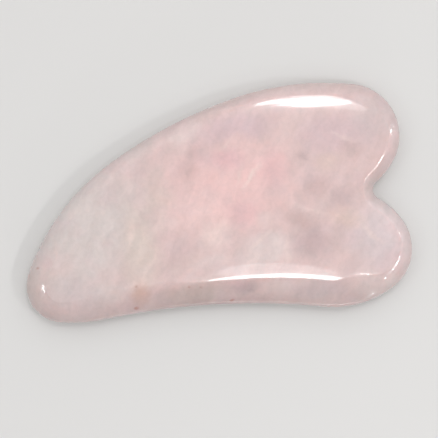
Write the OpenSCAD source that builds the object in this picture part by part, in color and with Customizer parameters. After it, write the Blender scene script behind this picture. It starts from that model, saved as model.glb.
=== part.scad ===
// Gua sha scraper: one hand-sized plate of polished rose quartz.
// Seen from above it is a wing with a rounded nose on the left and two lobes on the right.
// A notch between the lobes takes the jaw or a finger, and the long belly and back are the scraping edges.
//
// The outline is a closed chain of tangent arcs. Six main circles are placed by hand,
// and a joining arc of a given radius runs from each one to the next.
// The edge has one section all round: a rounded edge, a bevel, a crease and a gently crowned face.
// The bevel's width is set at both ends of each main circle and blends in between.

/* [Size] */
// Length from the tip of the nose to the end of the lower lobe
body_length = 84; // [82:0.5:86]
// Thickness between the two ground faces
body_thickness = 6; // [5:0.5:8]

/* [Nose] */
// Radius of the nose
nose_r = 8; // [7.5:0.1:8.5]
// Distance of the nose's centre below the notch
nose_drop = 16.3; // [16:0.1:16.6]
// Radius where the nose turns into the belly
nose_heel_r = 38; // [34:1:42]

/* [Lobes] */
// Radius of the lower lobe
lower_lobe_r = 10.5; // [10:0.1:11]
// Distance of the lower lobe's centre below the notch
lower_lobe_drop = 12.5; // [12:0.1:13]
// Radius where the belly turns into the lower lobe
lobe_heel_r = 22; // [20:1:25]
// Radius of the upper lobe
upper_lobe_r = 11.3; // [10.8:0.1:11.8]
// Distance of the upper lobe's centre above the notch
upper_lobe_rise = 12.1; // [11.8:0.1:12.4]
// Distance of the upper lobe's centre behind the lower lobe's centre
upper_lobe_setback = 1.9; // [1:0.1:3]

/* [Notch] */
// Radius at the bottom of the notch
notch_r = 2; // [1.5:0.1:2.5]
// Distance of the notch's bottom from the end of the lower lobe
notch_depth = 7.7; // [7:0.1:8.2]
// Radius of the lower lobe's flank, beside the notch
lower_flank_r = 17; // [15:0.5:19]
// Radius of the upper lobe's flank, beside the notch
upper_flank_r = 19; // [17:0.5:21]

/* [Belly and back] */
// Radius of the hollow belly
belly_r = 156; // [140:1:170]
// Distance of the belly's highest point to the left of the middle
belly_left = 3; // [1:0.5:5]
// Distance of the belly's highest point below the notch
belly_drop = 22.5; // [22.2:0.1:22.8]
// Radius of the long back
back_r = 101.5; // [95:0.5:108]
// Distance of the back circle's top to the right of the middle
back_right = 32.5; // [30:0.5:34]
// Distance of the back circle's top above the notch
back_rise = 25.5; // [25.3:0.1:26]
// Radius of the crown, between the upper lobe and the back
crown_r = 60; // [55:1:65]
// Radius of the shoulder, between the back and the nose
shoulder_r = 50; // [47:1:53]

/* [Edge] */
// Radius of the rounded edge
edge_r = 1.4; // [1:0.1:1.6]
// Width of the bevel at the nose
nose_bevel = 3; // [2.6:0.1:3.1]
// Width of the bevel where the belly begins, near the nose
belly_start_bevel = 4.2; // [3:0.1:5]
// Width of the bevel where the belly ends, near the lower lobe
belly_end_bevel = 5.8; // [4:0.1:6]
// How late the bevel narrows between the belly and the lower lobe, where 1 is evenly
narrowing_delay = 2.5; // [1:0.1:3]
// Width of the bevel round each lobe
lobe_bevel = 2.6; // [2.2:0.1:4]
// Width of the bevel where the upper lobe runs out into the crown
crown_bevel = 3; // [2.4:0.1:4]
// Width of the bevel in the notch
notch_bevel = 2.4; // [2.2:0.1:4]
// Width of the bevel along the back
back_bevel = 2.2; // [2:0.1:4]

/* [Faces] */
// Distance from the crease to where the crown of a face would level out
crown_width = 4.4; // [3:0.1:4.4]
// Height of the crown above the crease
crown_rise = 0.25; // [0.1:0.05:0.4]
// Depth ground off the crown to make each face flat
ground_off = 0.03; // [0.01:0.01:0.05]

/* [Smoothness] */
// Longest step along the outline
outline_step = 1.8; // [1.2:0.1:2.5]
// Largest turn in one step of the outline
turn_step = 9; // [6:1:12]

/* [Hidden] */

STONE_COLOUR = [0.87, 0.78, 0.77];
SLAB_MARGIN = 10;

half_thickness = body_thickness / 2;
crown_top = half_thickness + ground_off;
crease_z = crown_top - crown_rise;

lower_lobe_x = body_length / 2 - lower_lobe_r;

// Each main circle, anticlockwise from the nose: [centre x, centre y, radius, first bevel, last bevel].
// The notch is at y = 0, and a negative radius is a hollow in the outline.
main_circles = [
    [nose_r - body_length / 2, -nose_drop, nose_r, nose_bevel, nose_bevel],
    [-belly_left, -belly_drop - belly_r, -belly_r, belly_start_bevel, belly_end_bevel],
    [lower_lobe_x, -lower_lobe_drop, lower_lobe_r, lobe_bevel, lobe_bevel],
    [body_length / 2 - notch_depth + notch_r, 0, -notch_r, notch_bevel, notch_bevel],
    [lower_lobe_x - upper_lobe_setback, upper_lobe_rise, upper_lobe_r, lobe_bevel, crown_bevel],
    [back_right, back_rise - back_r, back_r, back_bevel, back_bevel]
];

// The arc from each main circle to the next: [radius, side, delay of the bevel's change].
// Side is 1 where its centre is on the left of the line between the two circles' centres, and -1 on the right.
joining_arcs = [
    [nose_heel_r, 1, 1],
    [lobe_heel_r, 1, narrowing_delay],
    [lower_flank_r, 1, 1],
    [upper_flank_r, 1, 1],
    [crown_r, -1, 1],
    [shoulder_r, -1, 1]
];

function centre(circle) = [circle[0], circle[1]];
function wrap(angle) = angle - 360 * floor(angle / 360);
function mix(a, b, t) = a + (b - a) * t;
function smooth(t) = t * t * (3 - 2 * t);
function last(list) = list[len(list) - 1];
function backwards(list) = [for (i = [len(list) - 1 : -1 : 0]) list[i]];

// Centre of the arc of radius r that touches circles a and b
function tangent_centre(a, b, r, side) =
    let (
        from_a = abs(r - a[2]),
        from_b = abs(r - b[2]),
        line = centre(b) - centre(a),
        gap = norm(line),
        along = (from_a ^ 2 - from_b ^ 2 + gap ^ 2) / (2 * gap),
        across = sqrt(from_a ^ 2 - along ^ 2),
        direction = line / gap,
        left = [-direction.y, direction.x]
    )
    centre(a) + along * direction + side * across * left;

// Every arc of the outline in order: [centre x, centre y, radius, first bevel, last bevel, delay of the bevel's change]
arcs = [
    for (i = [0 : len(main_circles) - 1])
        let (
            circle = main_circles[i],
            next = main_circles[(i + 1) % len(main_circles)],
            join = joining_arcs[i],
            middle = tangent_centre(circle, next, join[0], join[1])
        )
        each [
            concat(circle, [1]),
            [middle.x, middle.y, join[0], circle[4], next[3], join[2]]
        ]
];

// Direction of the outward normal where arc a meets arc b
function meeting_angle(a, b) =
    let (normal = (centre(b) - centre(a)) / (a[2] - b[2]))
    atan2(normal.y, normal.x);

function arc_start(i) = meeting_angle(arcs[(i + len(arcs) - 1) % len(arcs)], arcs[i]);
function arc_end(i) = meeting_angle(arcs[i], arcs[(i + 1) % len(arcs)]);

// Points of one arc, without its last: [x, y, normal x, normal y, bevel width]
function arc_points(i) =
    let (
        arc = arcs[i],
        start = arc_start(i),
        sweep = wrap(arc_end(i) - start) - (arc[2] < 0 ? 360 : 0),
        length = abs(arc[2] * sweep) * PI / 180,
        steps = max(ceil(length / outline_step), ceil(abs(sweep) / turn_step))
    )
    [
        for (k = [0 : steps - 1])
            let (
                t = k / steps,
                angle = start + sweep * t,
                bevel = mix(arc[3], arc[4], smooth(t ^ arc[5]))
            )
            [arc[0] + arc[2] * cos(angle), arc[1] + arc[2] * sin(angle), cos(angle), sin(angle), bevel]
    ];

outline = [for (i = [0 : len(arcs) - 1]) each arc_points(i)];
outline_x = [for (p = outline) p[0]];
outline_y = [for (p = outline) p[1]];
outline_middle = [min(outline_x) + max(outline_x), min(outline_y) + max(outline_y)] / 2;

// Slope of a bevel that runs from the rounded edge up to the crease
function bevel_slope(bevel) =
    let (run = bevel - edge_r)
    atan2(crease_z, run) - asin(edge_r / norm([run, crease_z]));

// How far the surface lies inside the outline at a height above the middle of the edge
function inset(bevel, height) =
    let (
        slope = bevel_slope(bevel),
        bevel_start_z = edge_r * cos(slope),
        bevel_start = edge_r * (1 - sin(slope))
    )
    height <= bevel_start_z ? edge_r - sqrt(edge_r ^ 2 - height ^ 2)
    : height <= crease_z ? bevel_start + (height - bevel_start_z) / tan(slope)
    : bevel + crown_width * (1 - sqrt((crown_top - height) / crown_rise));

edge_heights = [for (angle = [18 : 18 : 72]) edge_r * sin(angle)];
bevel_heights = [mix(last(edge_heights), crease_z, 0.5), crease_z];
crown_heights = [for (t = [0.25 : 0.25 : 1]) crown_top - crown_rise * (1 - t) ^ 2];
upper_heights = concat(edge_heights, bevel_heights, crown_heights);
ring_heights = concat(-backwards(upper_heights), [0], upper_heights);

function ring(height) = [
    for (p = outline)
        let (d = inset(p[4], abs(height)))
        [p[0] - d * p[2], p[1] - d * p[3], height]
];

// The whole plate with crowned faces, lofted ring by ring from the lower face to the upper
module crowned_plate() {
    around = len(outline);
    bands = len(ring_heights) - 1;
    lower_pole = around * (bands + 1);
    upper_pole = lower_pole + 1;
    points = concat(
        [for (height = ring_heights) each ring(height)],
        [[outline_middle.x, outline_middle.y, -crown_top], [outline_middle.x, outline_middle.y, crown_top]]
    );
    sides = [
        for (band = [0 : bands - 1], i = [0 : around - 1])
            let (
                a = band * around + i,
                b = band * around + (i + 1) % around
            )
            each [[a, a + around, b + around], [a, b + around, b]]
    ];
    caps = [
        for (i = [0 : around - 1])
            let (next = (i + 1) % around)
            each [
                [i, next, lower_pole],
                [bands * around + next, bands * around + i, upper_pole]
            ]
    ];
    polyhedron(points, concat(sides, caps), convexity = 4);
}

// Both faces are ground flat, so the plate is as thick as the slab that is left
module scraper_stone() {
    slab = body_length + SLAB_MARGIN;
    color(STONE_COLOUR)
    translate([-outline_middle.x, -outline_middle.y, half_thickness])
    intersection() {
        crowned_plate();
        cube([slab, slab, body_thickness], center = true);
    }
}

scraper_stone();
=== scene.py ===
"""Gua sha scraper: a polished rose quartz plate on a pale studio floor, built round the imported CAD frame.

Every object is in metres, in the frame of the CAD model: +X runs from the nose to the lobes, +Y from the
belly to the back, and the plate lies on z = 0. The stone's own shape is measured and worked out in
millimetres.
"""

import math

import bpy
import numpy as np
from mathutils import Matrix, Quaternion, Vector, noise
from mathutils.geometry import delaunay_2d_cdt


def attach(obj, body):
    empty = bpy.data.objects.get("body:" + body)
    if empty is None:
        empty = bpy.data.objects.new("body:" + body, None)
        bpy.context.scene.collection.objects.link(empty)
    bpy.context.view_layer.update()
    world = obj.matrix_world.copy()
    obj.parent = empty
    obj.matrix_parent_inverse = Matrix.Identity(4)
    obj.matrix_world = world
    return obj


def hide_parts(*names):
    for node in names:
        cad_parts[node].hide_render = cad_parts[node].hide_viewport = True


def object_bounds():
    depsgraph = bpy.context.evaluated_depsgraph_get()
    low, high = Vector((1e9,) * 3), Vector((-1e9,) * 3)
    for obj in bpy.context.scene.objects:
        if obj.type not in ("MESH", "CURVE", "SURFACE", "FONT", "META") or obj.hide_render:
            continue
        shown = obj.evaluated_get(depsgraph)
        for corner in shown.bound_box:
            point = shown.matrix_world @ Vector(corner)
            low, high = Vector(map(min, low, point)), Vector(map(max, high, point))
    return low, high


MM = 0.001
STONE_NODE = "scraper_stone"

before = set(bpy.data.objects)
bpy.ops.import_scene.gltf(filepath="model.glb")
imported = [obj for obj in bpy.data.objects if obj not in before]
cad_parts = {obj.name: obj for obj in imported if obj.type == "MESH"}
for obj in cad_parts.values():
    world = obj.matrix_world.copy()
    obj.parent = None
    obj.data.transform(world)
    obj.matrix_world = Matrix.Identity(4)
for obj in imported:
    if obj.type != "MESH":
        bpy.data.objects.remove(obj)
cad_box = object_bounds()
cad_middle = (cad_box[0] + cad_box[1]) / 2


# ------------------------------------------------------- the stone's shape in mm, measured from the CAD node

# How finely the mesh is divided: round the outline, and across each part of the section
OUTLINE_STEPS = 720
EDGE_STEPS = 12
BEVEL_STEPS = 4
CREASE_STEPS = 6
CROWN_STEPS = 4
LAND_STEPS = 5

# Gap between the mesh's points on the flat faces, and the gap below which two points count as one
FACE_GRID = 1.1
SAME_POINT = 1e-6

# The kind of output of delaunay_2d_cdt that keeps only the triangles inside a loop
INSIDE_ONLY = 1

# How far the rounding between the crown and the flat face reaches to each side
LAND_SOFTNESS = 1.2

# The crease is crisp between two places, and fades beyond them, towards the nose and round the lobes'
# shoulders. Along the back it starts to fade sooner than along the belly.
CRISP_X = (3.0, 24.0)
SOFT_X = (-9.0, 36.0)
BACK_LEAD = 5.0

# How far the rounding of the crease reaches onto the bevel and onto the crown
CRISP_REACH = (0.25, 0.25)
SOFT_REACH = (2.2, 1.5)

# Waves left by hand grinding: their length and depth, slow ones all over and quick ones towards both ends
SLOW_WAVE = 11.0
SLOW_DEPTH = 0.004
QUICK_WAVE = 2.6
QUICK_DEPTH = 0.045
WAVES_FROM_X = 30.0
WAVES_FULL_X = 38.0

# The quick waves fade out where a surface is nearly level, so that the faces stay flat
WAVES_FULL_LEAN = 0.02


def rings_by_height(node):
    """The rings that the CAD stone is lofted through: {height: points anticlockwise from the leftmost}.

    The corners are rounded to a micrometre, so that triangles that meet share them.
    """
    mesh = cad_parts[node].data
    corners = np.empty(len(mesh.vertices) * 3)
    mesh.vertices.foreach_get("co", corners)
    corners = np.unique(np.round(corners.reshape(-1, 3) / MM, 3), axis=0)
    rings = {}
    for height in np.unique(corners[:, 2]):
        ring = corners[corners[:, 2] == height, :2]
        ring = ring[np.argsort(np.arctan2(ring[:, 1], ring[:, 0]))]
        rings[height] = np.roll(ring, -np.argmin(ring[:, 0]), axis=0)
    return rings


def closed_spline(values, knots, period, at):
    """Smooth closed curve through values at knots, read at the places in at, and its slope there."""
    gap = np.diff(np.append(knots, knots[0] + period))
    rise = (np.roll(values, -1, axis=0) - values) / gap[:, None]
    before = np.roll(gap, 1)
    count = len(knots)
    index = np.arange(count)
    system = np.zeros((count, count))
    system[index, index - 1] = 1 / before
    system[index, index] = 2 / before + 2 / gap
    system[index, (index + 1) % count] = 1 / gap
    slope = np.linalg.solve(system, 3 * (np.roll(rise, 1, axis=0) / before[:, None] + rise / gap[:, None]))
    i = np.searchsorted(knots, at, side="right") - 1
    j = (i + 1) % count
    h = gap[i][:, None]
    t = ((at - knots[i]) / gap[i])[:, None]
    curve = (
        (2 * t**3 - 3 * t**2 + 1) * values[i]
        + (t**3 - 2 * t**2 + t) * h * slope[i]
        + (3 * t**2 - 2 * t**3) * values[j]
        + (t**3 - t**2) * h * slope[j]
    )
    tangent = (
        (6 * t**2 - 6 * t) * (values[i] - values[j]) / h
        + (3 * t**2 - 4 * t + 1) * slope[i]
        + (3 * t**2 - 2 * t) * slope[j]
    )
    return curve, tangent


def measure_stone(node):
    """The stone's outline, its normals, the bevel's width along it and the section's fixed sizes, in mm."""
    rings = rings_by_height(node)
    middle = max(rings) / 2
    heights = sorted(height for height in rings if height >= middle)
    rim, first = rings[heights[0]], rings[heights[1]]
    # The topmost ring is the edge of the flat face, and the two below it lie on the crown.
    crease, quarter, half = (rings[height] for height in heights[-4:-1])
    chord = np.linalg.norm(np.roll(rim, -1, axis=0) - rim, axis=1)
    knots = np.concatenate([[0], np.cumsum(chord)[:-1]])
    period = chord.sum()
    at = np.linspace(0, period, OUTLINE_STEPS, endpoint=False)
    outline, tangent = closed_spline(rim, knots, period, at)
    tangent /= np.linalg.norm(tangent, axis=1)[:, None]
    width = np.linalg.norm(crease - rim, axis=1)[:, None]
    bevel = closed_spline(width, knots, period, at)[0]
    edge_inset = np.linalg.norm(first - rim, axis=1).mean()
    edge_height = heights[1] - middle
    crown_x = [0, *(np.linalg.norm(ring - crease, axis=1).mean() for ring in (quarter, half))]
    crown_z = [height - middle for height in heights[-4:-1]]
    return {
        "middle": middle,
        "outline": outline,
        "normal": np.stack([tangent[:, 1], -tangent[:, 0]], axis=1),
        "bevel": bevel,
        "edge_r": (edge_inset**2 + edge_height**2) / (2 * edge_inset),
        "crown": np.polyfit(crown_x, crown_z, 2),
    }


def smoothstep(t):
    t = np.clip(t, 0, 1)
    return t * t * (3 - 2 * t)


def soft_corner(before, corner, after, steps):
    """Points of a curve that rounds off a corner, from one straight side to the other."""
    return [
        (1 - t) ** 2 * before + 2 * t * (1 - t) * corner + t**2 * after
        for t in np.linspace(0, 1, steps)
    ]


def crease_reach(stone):
    """How far the crease's rounding reaches onto the bevel and the crown, at every step of the outline."""
    x, y, lean = stone["outline"][:, :1], stone["outline"][:, 1:], stone["normal"][:, 1:]
    at_nose = smoothstep((CRISP_X[0] - x + BACK_LEAD * lean) / (CRISP_X[0] - SOFT_X[0]))
    at_shoulders = smoothstep((x - CRISP_X[1]) / (SOFT_X[1] - CRISP_X[1])) * smoothstep(lean * np.sign(y))
    softness = np.maximum(at_nose, at_shoulders)
    return [crisp + (soft - crisp) * softness for crisp, soft in zip(CRISP_REACH, SOFT_REACH)]


def section(stone):
    """The stone's section at every step of the outline, from the rim up to the flat face.

    Gives an array of [inset from the outline, height above the middle], steps by rows by 2.
    """
    bevel, edge_r = stone["bevel"], stone["edge_r"]
    bevel_reach, crown_reach = crease_reach(stone)
    square, linear, crease_z = stone["crown"]
    run = bevel - edge_r
    slope = np.arctan2(crease_z, run) - np.arcsin(edge_r / np.hypot(run, crease_z))
    top = stone["middle"]
    land = (-linear + math.sqrt(linear**2 - 4 * square * (crease_z - top))) / (2 * square)

    def point(inset, height):
        return np.concatenate([inset, height + 0 * inset], axis=1)

    def on_bevel(share):
        start = point(edge_r * (1 - np.sin(slope)), edge_r * np.cos(slope))
        return start + share * (crease - start)

    def on_crown(distance):
        return point(bevel + distance, square * distance**2 + linear * distance + crease_z)

    crease = point(bevel, crease_z)
    angles = [(math.pi / 2 - slope) * t for t in np.linspace(0, 1, EDGE_STEPS, endpoint=False)]
    rows = [point(edge_r * (1 - np.cos(angle)), edge_r * np.sin(angle)) for angle in angles]
    bevel_length = np.linalg.norm(crease - rows[-1], axis=1)[:, None]
    shoulder = 1 - bevel_reach / bevel_length
    rows += [on_bevel(shoulder * t) for t in np.linspace(0, 1, BEVEL_STEPS, endpoint=False)]
    rows += soft_corner(on_bevel(shoulder), crease, on_crown(crown_reach), CREASE_STEPS)
    land_start = land - LAND_SOFTNESS
    crown_shares = np.linspace(0, 1, CROWN_STEPS + 1)[1:-1]
    rows += [on_crown(crown_reach + t * (land_start - crown_reach)) for t in crown_shares]
    flat = [point(bevel + distance, np.array([[top]])) for distance in (land, land + LAND_SOFTNESS)]
    rows += soft_corner(on_crown(land_start), flat[0], flat[1], LAND_STEPS)
    return np.stack(rows, axis=1)


def inside(loop, points):
    """Which points lie inside a closed loop."""
    within = np.zeros(len(points), dtype=bool)
    for (ax, ay), (bx, by) in zip(loop, np.roll(loop, -1, axis=0)):
        crosses = (ay > points[:, 1]) != (by > points[:, 1])
        if ay != by:
            within ^= crosses & (points[:, 0] < (bx - ax) * (points[:, 1] - ay) / (by - ay) + ax)
    return within


def face_points(loop):
    """A staggered grid of points inside a loop, clear of it."""
    low, high = loop.min(axis=0), loop.max(axis=0)
    row_gap = FACE_GRID * math.sqrt(3) / 2
    grid = []
    for row, y in enumerate(np.arange(low[1], high[1], row_gap)):
        shift = FACE_GRID / 2 * (row % 2)
        grid += [(x + shift, y) for x in np.arange(low[0], high[0], FACE_GRID)]
    grid = np.array(grid)
    grid = grid[inside(loop, grid)]
    clearance = np.array([np.hypot(*(loop - point).T).min() for point in grid])
    return grid[clearance > FACE_GRID / 2]


def fill_face(loop):
    """The points inside a loop, and triangles that fill it: they count the loop's own points first."""
    points = np.concatenate([loop, face_points(loop)])
    count = len(loop)
    edges = [(i, (i + 1) % count) for i in range(count)]
    _, _, triangles, origin, _, _ = delaunay_2d_cdt(
        [Vector(p) for p in points], edges, [], INSIDE_ONLY, SAME_POINT
    )
    source = [ids[0] for ids in origin]
    return points[count:], [[source[i] for i in triangle] for triangle in triangles]


def stone_mesh(stone):
    """The whole stone as one closed mesh, in mm.

    Rings run from the lower face round the rim to the upper face, and both faces are filled in.
    """
    upper = section(stone)
    lower = upper[:, :0:-1] * [1, -1]
    profile = np.concatenate([lower, upper], axis=1)
    inset, height = profile[..., 0], profile[..., 1]
    flat = stone["outline"][:, None] - inset[..., None] * stone["normal"][:, None]
    rings = np.concatenate([flat, height[..., None] + stone["middle"]], axis=2)
    steps, count = rings.shape[:2]
    points = rings.transpose(1, 0, 2).reshape(-1, 3)
    faces = []
    for row in range(count - 1):
        for i in range(steps):
            a, b = row * steps + i, row * steps + (i + 1) % steps
            faces.append((a, b, b + steps, a + steps))
    inner, triangles = fill_face(flat[:, -1])
    for base, z, upwards in (((count - 1) * steps, 2 * stone["middle"], True), (0, 0.0, False)):
        offset = len(points) - steps
        points = np.concatenate([points, np.column_stack([inner, np.full(len(inner), z)])])
        for triangle in triangles:
            ids = [base + i if i < steps else offset + i for i in triangle]
            faces.append(ids if upwards else ids[::-1])
    return points, faces


def make_mesh_object(name, points, faces):
    mesh = bpy.data.meshes.new(name)
    mesh.from_pydata(points.tolist(), [], faces)
    mesh.validate()
    mesh.shade_smooth()
    piece = bpy.data.objects.new(name, mesh)
    bpy.context.scene.collection.objects.link(piece)
    return piece


def hand_finish(piece):
    """Presses the faint waves of hand grinding into a surface, deeper and shorter towards the ends.

    Noise runs from -1 to 1, so 1 is added to it: the surface only ever moves inwards.
    """
    mesh = piece.data
    surface = [(vertex.co / MM, vertex.normal.copy()) for vertex in mesh.vertices]
    for vertex, (place, normal) in zip(mesh.vertices, surface):
        slow = noise.noise(place / SLOW_WAVE) + 1
        quick = noise.noise(place / QUICK_WAVE) + 1
        at_end = smoothstep((abs(place.x) - WAVES_FROM_X) / (WAVES_FULL_X - WAVES_FROM_X))
        off_face = smoothstep((1 - abs(normal.z)) / WAVES_FULL_LEAN)
        press = SLOW_DEPTH * slow + QUICK_DEPTH * at_end * off_face * quick
        vertex.co -= normal * float(press) * MM
    mesh.update()


def make_stone():
    points, faces = stone_mesh(measure_stone(STONE_NODE))
    piece = make_mesh_object("polished_stone", points * MM, faces)
    hand_finish(piece)
    return piece


# ------------------------------------------------------- material

BLUSH = (0.68, 0.52, 0.505)
MILK = (0.66, 0.585, 0.565)
SAND = (0.67, 0.57, 0.52)
SALMON = (0.78, 0.55, 0.535)
PINK = (0.81, 0.61, 0.59)
CREAM = (0.83, 0.68, 0.64)
# A pale tone, also used as painted glow beside the belly highlight
PALE_AND_GLOW = (0.74, 0.63, 0.61)
ICE = (0.67, 0.57, 0.575)
OCHRE = (0.70, 0.54, 0.48)
ROSE = (0.75, 0.46, 0.48)
MAUVE = (0.635, 0.475, 0.495)
SLATE = (0.58, 0.50, 0.50)
UMBER = (0.58, 0.46, 0.43)
MAROON = (0.53, 0.37, 0.355)
PLUM = (0.475, 0.35, 0.36)
AMBER = (0.60, 0.40, 0.34)
# Grey painted on the rim as shade
RIM_SHADE_GREY = (0.56, 0.52, 0.51)
RUST = (0.42, 0.20, 0.15)

# Clouds in the quartz, later ones over earlier ones; a few also paint the glow round the belly highlight and
# the shade on the belly's bevel, in mm:
# (x, y, reach along, reach across, turn in degrees, colour, share)
CLOUDS_AND_PAINTED_LIGHT = [
    (-30, -5, 25, 18, 35, MILK, 1.0),
    (-16, 12, 9, 4, 40, MILK, 0.4),
    (-35, -11, 6, 5, 0, BLUSH, 0.45),
    (-24, -18, 7, 4, 0, MILK, 0.5),
    (-31, -18, 9, 7, 0, SLATE, 0.6),
    (-41, -15, 7, 9, 0, UMBER, 0.5),
    (-17, -9, 6, 15, 0, SAND, 0.75),
    (-12, 1, 5, 9, 0, SAND, 0.5),
    (-8, -12.5, 8, 4.5, 0, UMBER, 0.3),
    (4, 3.5, 21, 15, 10, SALMON, 1.0),
    (-4, -1.5, 9, 5.5, 20, PINK, 0.65),
    # This row and the next: partly a paler streak in the stone, partly a painted glow round the belly
    # highlight
    (11, -11, 9, 5, 0, PALE_AND_GLOW, 0.8),
    (3, -13.5, 13, 3, 0, PALE_AND_GLOW, 0.5),
    (5, 15.5, 12, 4, 8, MAUVE, 0.8),
    (27, 13, 12, 6, 0, MAUVE, 0.65),
    (35, -9, 10, 12, 0, ICE, 0.9),
    (35, 16, 8, 8, 0, SLATE, 0.45),
    (20, -10, 7, 6.5, 10, PLUM, 0.4),
    # The belly's bevel painted darker: partly its own tint, partly painted shade, as that side faces away
    # from the lights
    (-5, -20, 13, 4.5, 3, UMBER, 0.8),
    (22, -20, 9, 3.5, 0, SLATE, 0.5),
    (33, -20, 7, 4, 0, PALE_AND_GLOW, 0.6),
    # Along the belly's rim: partly its own reddish tint, partly painted shade
    (-1, -23, 22, 2.6, 2, MAROON, 0.7),
]

# Smaller, firmer patches, written the same way
PATCHES = [
    (0, -7, 6.5, 4.5, 10, CREAM, 0.65),
    (10.5, -4.5, 3.5, 2.5, 0, CREAM, 0.45),
    (-10.5, -4, 3, 3, 0, CREAM, 0.35),
    (3, 9, 5.5, 3.5, 0, ROSE, 0.6),
    (13, 6.5, 5, 6, 0, ROSE, 0.4),
    (6, -3, 5, 4.5, 0, ROSE, 0.42),
    (-3.5, 10.8, 4, 2.6, 20, MAROON, 0.42),
    (-5, 7, 3.4, 3, 0, MAROON, 0.4),
    (9, 14.5, 4, 3, 0, MAUVE, 0.5),
    (22, 2, 4.4, 4, 0, MAROON, 0.6),
    (18, -5, 6, 3, -25, MAROON, 0.6),
    (21, -9.5, 4, 4.5, 0, PLUM, 0.35),
    (27, -1, 4.5, 3.2, 0, PLUM, 0.35),
    (19.5, 8.5, 1.8, 2.2, 20, PLUM, 0.5),
    (30, 9.5, 4.5, 3, -30, MAROON, 0.4),
    (24.5, 7, 4.5, 3, 0, OCHRE, 0.5),
    (28, -5.5, 6, 3.5, -20, OCHRE, 0.6),
    (-5.5, 14.8, 6, 3, 30, PALE_AND_GLOW, 0.6),
    (5.5, -18.6, 4.5, 2.2, 0, PLUM, 0.5),
    (14, -18.8, 8, 2.4, 0, PALE_AND_GLOW, 0.5),
    (-17.2, -19, 4, 3, 80, AMBER, 0.7),
]

# Pale healed cracks and veils
VEILS = [
    (8.2, 5, 5, 0.9, 50, CREAM, 0.8),
    (5.5, 5.5, 3.5, 0.7, 75, CREAM, 0.4),
    (9, -8.8, 4.5, 0.9, 38, CREAM, 0.7),
    (14.6, -11, 5, 1, 88, CREAM, 0.4),
    (28.3, 12.1, 5.8, 0.8, -21, CREAM, 0.45),
    (20, -2.8, 8, 0.8, -20, CREAM, 0.4),
    (33, -9, 4.5, 1, -45, CREAM, 0.5),
    (3, 12, 4, 0.8, 40, CREAM, 0.3),
    (-18.5, -6, 5, 1.1, 80, CREAM, 0.45),
    (-16, -14.5, 5, 0.9, 65, CREAM, 0.35),
    (-12, -3, 8, 0.9, 60, CREAM, 0.2),
]

# Iron stains that reach the surface
SPECKS = [
    (-18, -17, 0.7, 0.5, 0, RUST, 0.6),
    (-18.4, -21.7, 0.8, 0.5, 20, RUST, 0.65),
    (-39, -11.7, 0.7, 0.5, 30, RUST, 0.5),
    (2.3, -21.4, 0.9, 0.4, 10, RUST, 0.6),
    (-6.8, -17.9, 0.6, 0.5, 0, RUST, 0.5),
    (-4.2, -18.1, 0.6, 0.5, 0, RUST, 0.4),
]

# How far each kind reaches up and down from the stone's middle, in mm, and the solid share of its reach
CLOUD_DEPTH, CLOUD_CORE = 12, 0.3
PATCH_DEPTH, PATCH_CORE = 8, 0.3
VEIL_DEPTH, VEIL_CORE = 9, 0.1
SPECK_DEPTH, SPECK_CORE = 5, 0.3

# Numbers of the sockets of a Mix node that mixes colours
MIX_A, MIX_B, MIX_COLOUR = 6, 7, 2


def add(tree, kind, inputs, **settings):
    """Adds a node: each input is a plain value or the socket that feeds it."""
    made = tree.nodes.new("ShaderNode" + kind)
    for name, value in settings.items():
        setattr(made, name, value)
    for name, value in inputs.items():
        if isinstance(value, bpy.types.NodeSocket):
            tree.links.new(value, made.inputs[name])
        else:
            made.inputs[name].default_value = value
    return made


def rgba(colour):
    return (*colour, 1)


def calculate(tree, operation, a, b=0.0):
    return add(tree, "Math", {0: a, 1: b}, operation=operation).outputs[0]


def mix_colour(tree, share, a, b, blend="MIX"):
    inputs = {0: share, MIX_A: a, MIX_B: b}
    return add(tree, "Mix", inputs, data_type="RGBA", blend_type=blend).outputs[MIX_COLOUR]


def shaded(tree, colour, brightness):
    return mix_colour(tree, 1.0, colour, brightness, "MULTIPLY")


def remap(tree, value, low, high, to_low, to_high, smooth=False):
    kind = "SMOOTHSTEP" if smooth else "LINEAR"
    inputs = {"Value": value, "From Min": low, "From Max": high, "To Min": to_low, "To Max": to_high}
    return add(tree, "MapRange", inputs, interpolation_type=kind).outputs["Result"]


def noise_field(tree, where, size_mm, detail=2.0, roughness=0.5, output="Fac"):
    """Cloudy noise whose blobs are about size_mm across."""
    inputs = {"Vector": where, "Scale": 1 / (size_mm * MM), "Detail": detail, "Roughness": roughness}
    return add(tree, "TexNoise", inputs).outputs[output]


def warped(tree, where, size_mm, push_mm):
    """The same place, pushed about by noise, so that round clouds come out ragged."""
    ragged = noise_field(tree, where, size_mm, detail=3.0, roughness=0.6, output="Color")
    push = add(tree, "VectorMath", {0: ragged, 1: (0.5, 0.5, 0.5)}, operation="SUBTRACT").outputs[0]
    inputs = {0: push, 1: (2 * push_mm * MM,) * 3, 2: where}
    return add(tree, "VectorMath", inputs, operation="MULTIPLY_ADD").outputs[0]


def stretched(tree, where, turn, times):
    """Coordinates in which noise comes out stretched along a direction in the XY plane, given in degrees."""
    inputs = {"Vector": where, "Rotation": (0, 0, math.radians(turn)), "Scale": (times, 1, 1)}
    return add(tree, "Mapping", inputs, vector_type="TEXTURE").outputs["Vector"]


def paint_blobs(tree, where, colour, blobs, depth, core):
    """Paints ellipsoids over a colour: solid inside the share core of their reach, then fading out."""
    for x, y, along, across, turn, tint, share in blobs:
        inputs = {
            "Vector": where,
            "Location": (x * MM, y * MM, cad_middle.z),
            "Rotation": (0, 0, math.radians(turn)),
            "Scale": (along * MM, across * MM, depth * MM),
        }
        local = add(tree, "Mapping", inputs, vector_type="TEXTURE").outputs["Vector"]
        distance = add(tree, "VectorMath", {0: local}, operation="LENGTH").outputs["Value"]
        strength = remap(tree, distance, core, 1.0, share, 0.0, smooth=True)
        colour = mix_colour(tree, strength, colour, rgba(tint))
    return colour


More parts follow.
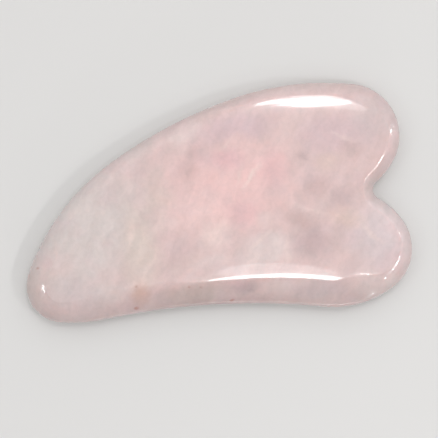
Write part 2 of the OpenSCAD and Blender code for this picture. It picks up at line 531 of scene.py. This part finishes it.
def quartz_colour(tree, where):
    """Clouds and patches, a few of them painted glow and shade, then painted shade that greys and darkens
    the colour towards the rim.

    Over them come cool drifts, veils, wisps and grain, and specks last.
    """
    cloudy = warped(tree, where, size_mm=6, push_mm=2.6)
    fine_cloudy = warped(tree, where, size_mm=2.5, push_mm=1.2)
    colour = paint_blobs(tree, cloudy, rgba(BLUSH), CLOUDS_AND_PAINTED_LIGHT, CLOUD_DEPTH, CLOUD_CORE)
    colour = paint_blobs(tree, fine_cloudy, colour, PATCHES, PATCH_DEPTH, PATCH_CORE)
    height = add(tree, "SeparateXYZ", {"Vector": where}).outputs["Z"]
    off_middle = calculate(tree, "ABSOLUTE", calculate(tree, "SUBTRACT", height, cad_middle.z))
    # Painted shade: the colour is greyed near the rim
    painted_rim_grey = remap(tree, off_middle, 0.5 * MM, 2.6 * MM, 0.35, 0.0)
    colour = mix_colour(tree, painted_rim_grey, colour, rgba(RIM_SHADE_GREY))
    # Painted shade: darker towards the rim, and the faces painted a little brighter
    colour = shaded(tree, colour, remap(tree, off_middle, 1.0 * MM, 2.75 * MM, 0.86, 1.03))
    drifts = noise_field(tree, fine_cloudy, size_mm=6.0, detail=3.0)
    colour = mix_colour(tree, remap(tree, drifts, 0.48, 0.7, 0.0, 0.3), colour, rgba(MAUVE))
    colour = paint_blobs(tree, fine_cloudy, colour, VEILS, VEIL_DEPTH, VEIL_CORE)
    along_wisps = stretched(tree, cloudy, turn=62, times=3.0)
    wisps = noise_field(tree, along_wisps, size_mm=2.6, detail=3.0, roughness=0.55)
    colour = shaded(tree, colour, remap(tree, wisps, 0.3, 0.7, 0.94, 1.06))
    grain = noise_field(tree, fine_cloudy, size_mm=1.0, detail=4.0, roughness=0.6)
    colour = shaded(tree, colour, remap(tree, grain, 0.3, 0.6, 0.955, 1.015))
    ragged = warped(tree, where, size_mm=0.8, push_mm=0.35)
    return paint_blobs(tree, ragged, colour, SPECKS, SPECK_DEPTH, SPECK_CORE)


def quartz_polish(tree, where, shader):
    """A roughness that drifts a little under the coat, and the faint ripple that polishing leaves."""
    drift = noise_field(tree, where, size_mm=9, detail=3.0)
    tree.links.new(remap(tree, drift, 0.3, 0.7, 0.19, 0.26), shader.inputs["Roughness"])
    ripple = noise_field(tree, where, size_mm=2.2)
    bump = add(tree, "Bump", {"Strength": 0.25, "Distance": 0.02 * MM, "Height": ripple})
    tree.links.new(bump.outputs["Normal"], shader.inputs["Normal"])


def rose_quartz():
    """Milky pink quartz under a glassy polish."""
    material = bpy.data.materials.new("rose_quartz")
    material.use_nodes = True
    tree = material.node_tree
    shader = tree.nodes["Principled BSDF"]
    where = add(tree, "TexCoord", {}).outputs["Object"]
    tree.links.new(quartz_colour(tree, where), shader.inputs["Base Color"])
    quartz_polish(tree, where, shader)
    shader.inputs["IOR"].default_value = 1.54
    shader.inputs["Coat Weight"].default_value = 1.0
    shader.inputs["Coat Roughness"].default_value = 0.04
    shader.inputs["Subsurface Weight"].default_value = 1.0
    shader.inputs["Subsurface Radius"].default_value = (1.0, 0.7, 0.65)
    shader.inputs["Subsurface Scale"].default_value = 1.4 * MM
    return material


# ------------------------------------------------------- studio in metres

FLOOR_WIDTH = 1.2
FLOOR_COLOUR = (0.70, 0.69, 0.68)

# Brightness of the light tent: its walls at the floor, its roof, and what the wall behind the plate adds
WALL_LIGHT = 0.95
ROOF_LIGHT = 0.4
BACK_WALL_LIGHT = 0.25

# The camera looks straight down, and a little off the middle of the plate
LENS = 100
SENSOR_WIDTH = 36
VIEW_WIDTH = 0.0949
VIEW_OFFSET = (0.0006, -0.0037, 0)
VIEW_TURN = -3.75

# Places on the creases of the back and the belly at which lights are aimed
BACK_CREASE = (0.02, 0.02, 0)
BELLY_CREASE = (0.013, -0.017, 0)

# Soft lights: (name, place, what it is aimed at, size, watts, shape, turn in degrees).
# The overhead one lights the whole scene. The back and front ones make the two long highlights,
# each with a bright core and a glow round it. The others make the glints on the lobes, nose and rim.
LIGHTS = [
    ("overhead_light", (0, 0.35, 0.9), (0, 0, 0), (1.4, 1.4), 2.5, "RECTANGLE", 0),
    ("back_strip", (0.057, 0.151, 0.5), BACK_CREASE, (0.092, 0.022), 0.092, "RECTANGLE", 0),
    ("back_diamond", (0.064, 0.118, 0.499), BACK_CREASE, (0.041, 0.041), 0.074, "RECTANGLE", 60),
    ("back_glow", (0.085, 0.130, 0.51), BACK_CREASE, (0.10, 0.08), 0.04, "ELLIPSE", 0),
    ("back_haze", (0.09, 0.22, 0.5), BACK_CREASE, (0.08, 0.12), 0.15, "ELLIPSE", 0),
    ("front_glow", (0.034, -0.100, 0.51), BELLY_CREASE, (0.07, 0.10), 0.038, "ELLIPSE", 0),
    ("front_light", (0.038, -0.150, 0.5), BELLY_CREASE, (0.086, 0.044), 0.131, "ELLIPSE", -12),
    ("flank_light", (0.302, -0.169, 0.324), (0.035, 0.004, 0), (0.12, 0.03), 0.3, "RECTANGLE", 0),
    ("side_light", (0.36, 0.045, 0.045), (0.04, 0.005, 0.003), (0.10, 0.002), 0.022, "RECTANGLE", 0),
    ("nose_light", (-0.3, -0.05, 0.33), (-0.035, -0.015, 0), (0.09, 0.015), 0.08, "RECTANGLE", 0),
    ("rim_light", (0.07, -0.4, 0.10), (0.02, -0.02, 0), (0.16, 0.03), 0.1, "RECTANGLE", 0),
    ("heel_light", (0.206, -0.318, 0.29), (0.034, -0.02, 0), (0.06, 0.03), 0.08, "RECTANGLE", 0),
]


def floor_material():
    material = bpy.data.materials.new("studio_floor")
    material.use_nodes = True
    shader = material.node_tree.nodes["Principled BSDF"]
    shader.inputs["Base Color"].default_value = rgba(FLOOR_COLOUR)
    shader.inputs["Roughness"].default_value = 0.9
    return material


def make_floor():
    half = FLOOR_WIDTH / 2
    corners = np.array([(-half, -half, 0), (half, -half, 0), (half, half, 0), (-half, half, 0)])
    floor = make_mesh_object("floor", corners, [(0, 1, 2, 3)])
    floor.data.materials.append(floor_material())
    return floor


def aim(item, target, turn):
    """Points an item's -Z at a target, turned about that line by an angle in degrees."""
    look = (Vector(target) - item.location).to_track_quat("-Z", "Y")
    item.rotation_mode = "QUATERNION"
    item.rotation_quaternion = look @ Quaternion((0, 0, 1), math.radians(turn))


def soft_light(name, place, target, size, watts, shape, turn):
    data = bpy.data.lights.new(name, "AREA")
    data.shape = shape
    data.size, data.size_y = size
    data.energy = watts
    lamp = bpy.data.objects.new(name, data)
    lamp.location = place
    bpy.context.scene.collection.objects.link(lamp)
    aim(lamp, target, turn)


def make_camera():
    data = bpy.data.cameras.new("camera")
    data.lens = LENS
    data.sensor_width = SENSOR_WIDTH
    camera = bpy.data.objects.new("camera", data)
    distance = VIEW_WIDTH * LENS / SENSOR_WIDTH
    camera.location = cad_middle + Vector(VIEW_OFFSET) + Vector((0, 0, distance))
    camera.rotation_euler = (0, 0, math.radians(VIEW_TURN))
    bpy.context.scene.collection.objects.link(camera)
    bpy.context.scene.camera = camera


def make_world():
    """A white light tent: its walls are brighter than its roof, and the one behind is the brightest."""
    world = bpy.data.worlds.new("studio")
    bpy.context.scene.world = world
    world.use_nodes = True
    tree = world.node_tree
    direction = add(tree, "TexCoord", {}).outputs["Generated"]
    parts = add(tree, "SeparateXYZ", {"Vector": direction}).outputs
    walls = remap(tree, parts["Z"], 0, 1, WALL_LIGHT, ROOF_LIGHT)
    back_wall = calculate(tree, "MULTIPLY", parts["Y"], BACK_WALL_LIGHT)
    background = tree.nodes["Background"]
    background.inputs["Color"].default_value = (1, 1, 1, 1)
    tree.links.new(calculate(tree, "ADD", walls, back_wall), background.inputs["Strength"])


bpy.context.scene.view_settings.view_transform = "Standard"
stone = make_stone()
stone.data.materials.append(rose_quartz())
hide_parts(STONE_NODE)
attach(stone, "root")
floor = make_floor()
make_world()
for light in LIGHTS:
    soft_light(*light)
make_camera()
